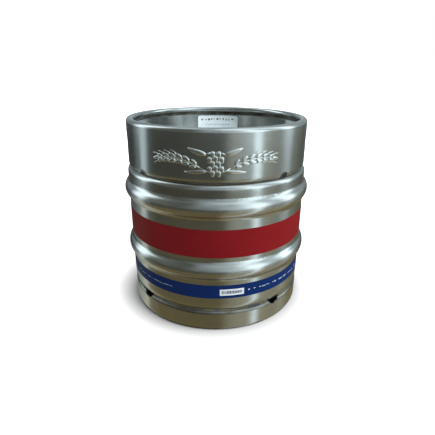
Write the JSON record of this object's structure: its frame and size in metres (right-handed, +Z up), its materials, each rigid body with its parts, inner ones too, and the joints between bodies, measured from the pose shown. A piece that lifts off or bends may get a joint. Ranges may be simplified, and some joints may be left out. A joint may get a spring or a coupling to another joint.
{
  "type": "beer keg",
  "caption": "Stainless steel beer keg with rolling hoops, a rolled collar with hand holes, a foot ring, coloured bands and a spring-closed extractor valve.",
  "frame": {"origin": "centre of the circle that the foot ring rests on", "axes": "+Z up along the keg's axis, -Y towards the front with the relief on its collar, +X to the right of someone facing it"},
  "size_m": [0.3948, 0.3948, 0.4],
  "materials": {
    "shell_steel": "satin, lengthwise drawn and scuffed",
    "ring_steel": "satin, brushed round the keg",
    "weld_steel": "bare weld, slightly heat tinted",
    "fitting_steel": "machined",
    "spring_steel": "drawn wire",
    "ball_steel": "polished",
    "black_rubber": "matt",
    "red_film": "semi-gloss film",
    "blue_film": null,
    "label_film": "matt film"
  },
  "bodies": {
    "keg_body": {"upper_shell": "shell_steel", "lower_shell": "shell_steel", "girth_weld": "weld_steel", "top_collar": "ring_steel", "foot_ring": "ring_steel", "collar_weld": "weld_steel", "foot_weld": "weld_steel", "wide_band": "red_film", "narrow_band": "blue_film", "inner_label": "label_film", "neck_boss": "fitting_steel", "neck_weld": "weld_steel", "neck_seal": "black_rubber", "extractor_body": "fitting_steel", "retaining_ring": "spring_steel", "spring_cage": "fitting_steel", "gas_spring": "spring_steel"},
    "spear": {"gas_valve_ring": "black_rubber", "valve_cup": "fitting_steel", "spear_tube": "fitting_steel", "product_spring": "spring_steel"},
    "product_valve": {"product_ball": "ball_steel"}
  },
  "joints": [
    {"name": "spear_press", "type": "slide", "parent": "keg_body", "child": "spear", "axis": [0, 0, -1], "range_m": [0, 0.006], "stiffness_N_per_m": 5000, "springref_m": -0.01, "deforming": ["gas_spring"]},
    {"name": "ball_press", "type": "slide", "parent": "spear", "child": "product_valve", "axis": [0, 0, -1], "range_m": [0, 0.004], "stiffness_N_per_m": 500, "springref_m": -0.004, "deforming": ["product_spring"]}
  ]
}
